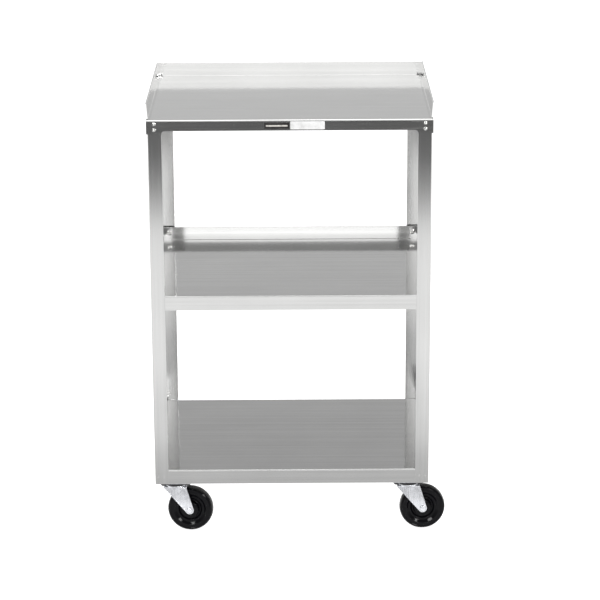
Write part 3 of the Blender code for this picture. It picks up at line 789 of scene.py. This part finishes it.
def make_bolts(corner):
    """The four bolts of a caster plate, each with its washer and its nut above the pad."""
    low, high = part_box(f"caster_plate_{corner}")
    pad_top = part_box(f"caster_pad_{corner}")[1].z
    middle = (low + high) / 2
    solids = []
    for x in (-0.5, 0.5):
        for y in (-0.5, 0.5):
            spot = Matrix.Translation((middle.x + x * BOLT_SPACING, middle.y + y * BOLT_SPACING, 0))
            under = low.z - WASHER_HEIGHT
            washer = rounded([(0, low.z), (WASHER, low.z, 0.3 * MM), (WASHER, under, 0.3 * MM), (0, under)],
                             closed=False, steps=2)
            solids.append(moved(lathe("washer", washer, 32), spot))
            solids.append(moved(nut_mesh(BOLT_HEAD, low.z - BOLT_HEAD_DROP, under), spot))
            solids.append(moved(rod(BOLT_RADIUS, low.z - 0.5 * MM, pad_top + BOLT_TAIL, 24), spot))
            solids.append(moved(nut_mesh(BOLT_HEAD, pad_top, pad_top + BOLT_NUT_HEIGHT), spot))
    # The bolts take the same near-black painted shade, so they sink into the shadow under the shelf.
    show(f"caster_bolts_{corner}", joined("bolts", solids), UNDERSHELF_PAINTED_SHADE, "cart_frame")


def make_caster(corner):
    place, trail = swivel_place(corner)
    fork_body = f"swivel_{corner}"
    axle_place = place @ Matrix.Translation((trail, 0, WHEEL_RADIUS)) @ LIE_DOWN
    show(f"fork_pressing_{corner}", fork_mesh(trail), ZINC, fork_body, [f"fork_{corner}"],
         place, edge=0.35 * MM)
    show(f"wheel_moulding_{corner}", lathe("wheel", wheel_path(), 128, closed=True), WHEEL_BLACK,
         f"wheel_{corner}", [f"wheel_{corner}"], axle_place)

    face = FORK_INNER_HALF + FORK_SHEET + GAP
    head = rounded([(0, face + 2.2 * MM), (4.6 * MM, face + 1.9 * MM, 1 * MM), (AXLE_HEAD, face, 0.5 * MM),
                    (AXLE, face), (AXLE, -face - AXLE_TAIL, 0.5 * MM), (0, -face - AXLE_TAIL)], closed=False)
    show(f"axle_bolt_{corner}", lathe("axle", head, 48), ZINC, fork_body, [f"axle_{corner}"],
         axle_place)
    bore = (AXLE + GAP) / math.cos(math.pi / 6)
    show(f"axle_hex_nut_{corner}", nut_mesh(AXLE_NUT, -face - AXLE_NUT_HEIGHT, -face, bore), ZINC, fork_body,
         [f"axle_nut_{corner}"], axle_place, smooth=20)

    low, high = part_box(f"raceway_cup_{corner}")
    outer, thickness = (high.x - low.x) / 2, SHEET
    shoulder = outer - CUP_SLOPE
    cup = rounded([
        (KING_PIN + GAP, high.z), (shoulder, high.z, 1.5 * MM), (outer, high.z - CUP_SLOPE, 2.5 * MM),
        (outer, low.z, 0.4 * MM), (outer - thickness, low.z, 0.4 * MM),
        (outer - thickness, high.z - 5.5 * MM, 1.5 * MM),
        (shoulder - thickness / 2, high.z - thickness, 0.5 * MM), (KING_PIN + GAP, high.z - thickness)])
    centre = Matrix.Translation((place.translation.x, place.translation.y, 0))
    # The cup's near-black colour is painted shade for the shadow under the bottom shelf.
    show(f"raceway_cover_{corner}", lathe("cup", cup, 96, closed=True), UNDERSHELF_PAINTED_SHADE, "cart_frame",
         [f"raceway_cup_{corner}"], centre)
    make_bolts(corner)


make_top_shelf()
make_middle_shelf()
make_bottom_shelf()
make_rivets()
for corner, (across, along) in CORNERS.items():
    make_leg(corner, across, along)
    make_caster(corner)


# ------------------------------------------------------------ stage and light

FLOOR_REACH = 30
FLOOR_DROP = 0.2 * MM
CARD_HALF_WIDTH = 12
CARD_NEAR, CARD_FAR = -0.33, -14
CARD_HEIGHT = 0.6 * MM
CARD_REACH = 5.0
CARD_STOPS = ((0.3, 0.60), (0.45, 0.65), (0.62, 0.74), (0.75, 0.93), (1.2, 1.15), (2.4, 1.15), (2.8, 0.50),
              (3.25, 0.15), (5.0, 0.12))
WORLD_STOPS = ((0.0, 0.80), (0.20, 0.66), (0.27, 0.58), (0.34, 0.46), (0.6, 0.36), (1.0, 0.40))
CAMERA_PLACE = Vector((0.0077, -4.3625, 1.6911))
CAMERA_DOWN, CAMERA_RIGHT, CAMERA_ROLL = 16.522, 0.124, -0.286
CAMERA_LENS = 143.41
SPARKLES = {"sparkle_left": (-1.35, -2.1, 2.05), "sparkle_right": (1.65, -2.0, 1.60)}


def stage_material(name, colour, glow):
    """Matt paint with a glow of its own."""
    made, shader = new_material(name, colour, 0.9, 0.0)
    shader.inputs["Specular IOR Level"].default_value = 0.1
    shader.inputs["Emission Color"].default_value = (1, 1, 1, 1)
    shader.inputs["Emission Strength"].default_value = glow
    return made


def flat_sheet(name, low, high, height):
    """A level rectangle between two corners."""
    shape = bmesh.new()
    corners = [(low[0], low[1]), (high[0], low[1]), (high[0], high[1]), (low[0], high[1])]
    shape.faces.new([shape.verts.new((x, y, height)) for x, y in corners])
    data = bpy.data.meshes.new(name)
    shape.to_mesh(data)
    shape.free()
    made = bpy.data.objects.new(name, data)
    bpy.context.scene.collection.objects.link(made)
    return made


def make_floor():
    floor = flat_sheet("floor", (-FLOOR_REACH, -FLOOR_REACH), (FLOOR_REACH, FLOOR_REACH), -FLOOR_DROP)
    floor.data.materials.append(stage_material("floor_paint", (0.60, 0.60, 0.60), 0.95))


def make_front_card():
    """What the cart's front mirrors: white paper up to about three metres away, then a dim room."""
    card = flat_sheet("front_card", (-CARD_HALF_WIDTH, CARD_FAR), (CARD_HALF_WIDTH, CARD_NEAR), CARD_HEIGHT)
    made = bpy.data.materials.new("front_card")
    made.use_nodes = True
    tree = made.node_tree
    tree.nodes.clear()
    point = node(tree, "ShaderNodeTexCoord").outputs["Object"]
    parts = node(tree, "ShaderNodeSeparateXYZ", inputs={0: point})
    distance = maths(tree, "DIVIDE", maths(tree, "MULTIPLY", parts.outputs[1], -1.0), CARD_REACH)
    brightness = grey_ramp(tree, distance, CARD_STOPS, CARD_REACH)
    glow = node(tree, "ShaderNodeEmission", inputs={"Color": brightness})
    end = node(tree, "ShaderNodeOutputMaterial")
    tree.links.new(glow.outputs[0], end.inputs[0])
    card.data.materials.append(made)
    card.visible_camera = False
    card.visible_diffuse = False
    card.visible_shadow = False
    card.visible_transmission = False


def soft_box(name, place, target, width, height, radiance):
    """A rectangular soft light with the given brightness, aimed at a point."""
    lamp = bpy.data.lights.new(name, "AREA")
    lamp.shape = "RECTANGLE"
    lamp.size, lamp.size_y = width, height
    lamp.energy = math.pi * radiance * width * height
    made = bpy.data.objects.new(name, lamp)
    bpy.context.scene.collection.objects.link(made)
    made.location = place
    made.rotation_euler = (Vector(target) - Vector(place)).to_track_quat("-Z", "Y").to_euler()
    return made


def make_world():
    """A grey room, paler towards the horizon."""
    world = bpy.data.worlds.new("studio")
    bpy.context.scene.world = world
    world.use_nodes = True
    tree = world.node_tree
    point = node(tree, "ShaderNodeTexCoord").outputs["Generated"]
    parts = node(tree, "ShaderNodeSeparateXYZ", inputs={0: point})
    brightness = grey_ramp(tree, parts.outputs[2], WORLD_STOPS)
    tree.links.new(brightness, tree.nodes["Background"].inputs[0])


def make_camera():
    """Straight on from the front, well above the top shelf, looking down."""
    down, right, roll = (math.radians(angle) for angle in (CAMERA_DOWN, CAMERA_RIGHT, CAMERA_ROLL))
    data = bpy.data.cameras.new("camera")
    data.sensor_width = 36
    data.lens = CAMERA_LENS
    data.clip_end = 200
    camera = bpy.data.objects.new("camera", data)
    bpy.context.scene.collection.objects.link(camera)
    turn = (Matrix.Rotation(-right, 4, "Z") @ Matrix.Rotation(math.pi / 2 - down, 4, "X")
            @ Matrix.Rotation(roll, 4, "Z"))
    camera.matrix_world = Matrix.Translation(CAMERA_PLACE) @ turn
    bpy.context.scene.camera = camera


make_floor()
make_front_card()
make_world()
make_camera()
soft_box("overhead", (0, 0.2, 3.4), (0, 0.2, 0), 3.2, 3.2, 2.6)
soft_box("front", (0, -6.2, 1.4), (0, 0, 0.6), 5.0, 2.2, 1.1)
for name, place in SPARKLES.items():
    sparkle = soft_box(name, place, (0, -0.2, 0.1), 1.0, 0.8, 20.0)
    sparkle.visible_diffuse = False
bpy.context.scene.view_settings.view_transform = "Standard"
